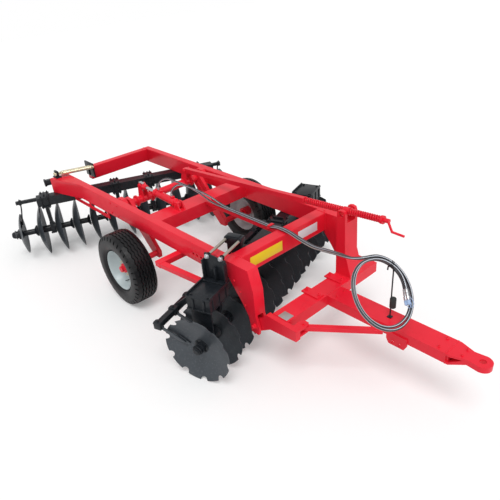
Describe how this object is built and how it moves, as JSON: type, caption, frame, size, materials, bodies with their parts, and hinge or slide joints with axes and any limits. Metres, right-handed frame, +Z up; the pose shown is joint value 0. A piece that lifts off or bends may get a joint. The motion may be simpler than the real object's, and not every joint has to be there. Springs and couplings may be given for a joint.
{
  "type": "disc harrow",
  "caption": "Towed offset disc harrow: rectangular frame on two wheels, angled front and rear disc gangs, hinged drawbar with levelling rod, hydraulic lift and hose coil.",
  "frame": {"origin": "on the ground, under the middle of the machine without its hoses", "axes": "+X forwards to the hitch, +Y to the machine's left, +Z up"},
  "size_m": [5.8158, 3.0432, 1.3022],
  "materials": {
    "black_paint": "semi-gloss",
    "bright_steel": "satin",
    "disc_steel": "satin",
    "hose_cover": "matte",
    "red_paint": "gloss",
    "rim_paint": "satin",
    "tyre_rubber": "matte"
  },
  "bodies": {
    "frame": {"frame_side_beam_left": "red_paint", "frame_side_beam_right": "red_paint", "frame_rear_crossbeam": "red_paint", "frame_front_crossbeam": "red_paint", "frame_leg_left": "red_paint", "frame_leg_right": "red_paint", "frame_crossmember": "red_paint", "rockshaft_bearing_left": "red_paint", "rockshaft_bearing_right": "red_paint", "hose_support_bar": "red_paint", "gang_outrigger_right": "red_paint", "rear_gang_brace_right": "red_paint", "rear_gang_clamp": "black_paint", "front_gang_beam": "black_paint", "front_gang_clamp": "black_paint", "front_scraper_bar": "black_paint", "rear_gang_beam": "black_paint", "rear_scraper_bar": "black_paint", "hose_a_frame": "hose_cover", "hose_b_frame": "hose_cover"},
    "rockshaft": {"rockshaft_tube": "red_paint", "wheel_arm_left": "red_paint", "wheel_arm_right": "red_paint"},
    "left_wheel": {"left_tyre": "tyre_rubber", "left_rim": "rim_paint"},
    "right_wheel": {"right_tyre": "tyre_rubber", "right_rim": "rim_paint"},
    "front_discs": {"front_disc_gang": "disc_steel"},
    "rear_discs": {"rear_disc_gang": "disc_steel"},
    "drawbar_assembly": {"drawbar_arm_left": "red_paint", "drawbar_arm_right": "red_paint", "lower_crossbar": "red_paint", "mast": "red_paint", "drawbar": "red_paint", "hitch_tongue": "red_paint", "drawbar_stay": "red_paint", "hose_stand": "bright_steel", "hose_coil": "hose_cover", "hose_couplings": "bright_steel", "hose_a_free": "hose_cover", "hose_b_free": "hose_cover"},
    "levelling_rod": {"level_rod": "red_paint", "level_spring_rear": "red_paint", "level_spring_front": "red_paint", "trunnion_block": "red_paint"},
    "lift_cylinder_barrel": {"cylinder_barrel": "red_paint"},
    "lift_cylinder_rod": {"cylinder_rod": "bright_steel"}
  },
  "joints": [
    {"name": "rockshaft_lift", "type": "hinge", "parent": "frame", "child": "rockshaft", "pos_m": [-1.16463, -0.05523, 0.8925], "axis": [0, 1, 0], "range_deg": [-22, 22]},
    {"name": "left_wheel_spin", "type": "hinge", "parent": "rockshaft", "child": "left_wheel", "pos_m": [-0.70213, 0.85277, 0.4137], "axis": [0, 1, 0], "continuous": true},
    {"name": "right_wheel_spin", "type": "hinge", "parent": "rockshaft", "child": "right_wheel", "pos_m": [-0.70213, -0.96322, 0.4137], "axis": [0, 1, 0], "continuous": true},
    {"name": "front_gang_spin", "type": "hinge", "parent": "frame", "child": "front_discs", "pos_m": [0.90337, -1.23723, 0.33], "axis": [-0.3289, 0.9444, 0], "continuous": true},
    {"name": "rear_gang_spin", "type": "hinge", "parent": "frame", "child": "rear_discs", "pos_m": [-2.65743, -1.34892, 0.33], "axis": [0.3827, 0.9239, 0], "continuous": true},
    {"name": "drawbar_hinge", "type": "hinge", "parent": "frame", "child": "drawbar_assembly", "pos_m": [1.12487, -0.05523, 0.43], "axis": [0, 1, 0], "range_deg": [-4.5, 4.5], "deforming": ["hose_a_free", "hose_b_free"]},
    {"name": "levelling_rod_pivot", "type": "hinge", "parent": "rockshaft", "child": "levelling_rod", "pos_m": [-1.13213, 0.27777, 1.054], "axis": [0, 1, 0], "range_deg": [-22.5, 22.5]},
    {"name": "cylinder_pivot", "type": "hinge", "parent": "frame", "child": "lift_cylinder_barrel", "pos_m": [-0.44213, -0.34523, 1.02], "axis": [0, 1, 0], "range_deg": [-0.3, 0.3], "deforming": ["hose_a_frame", "hose_b_frame"]},
    {"name": "cylinder_slide", "type": "slide", "parent": "lift_cylinder_barrel", "child": "lift_cylinder_rod", "axis": [-0.9991, 0, 0.0436], "range_m": [-0.065, 0.065]}
  ],
  "couplings": [
    {"joint": "drawbar_hinge", "follows": "rockshaft_lift", "ratio": 0.2002},
    {"joint": "levelling_rod_pivot", "follows": "rockshaft_lift", "ratio": -1},
    {"joint": "cylinder_pivot", "follows": "rockshaft_lift", "ratio": 0.008},
    {"joint": "cylinder_slide", "follows": "rockshaft_lift", "m_per_rad": -0.162}
  ]
}
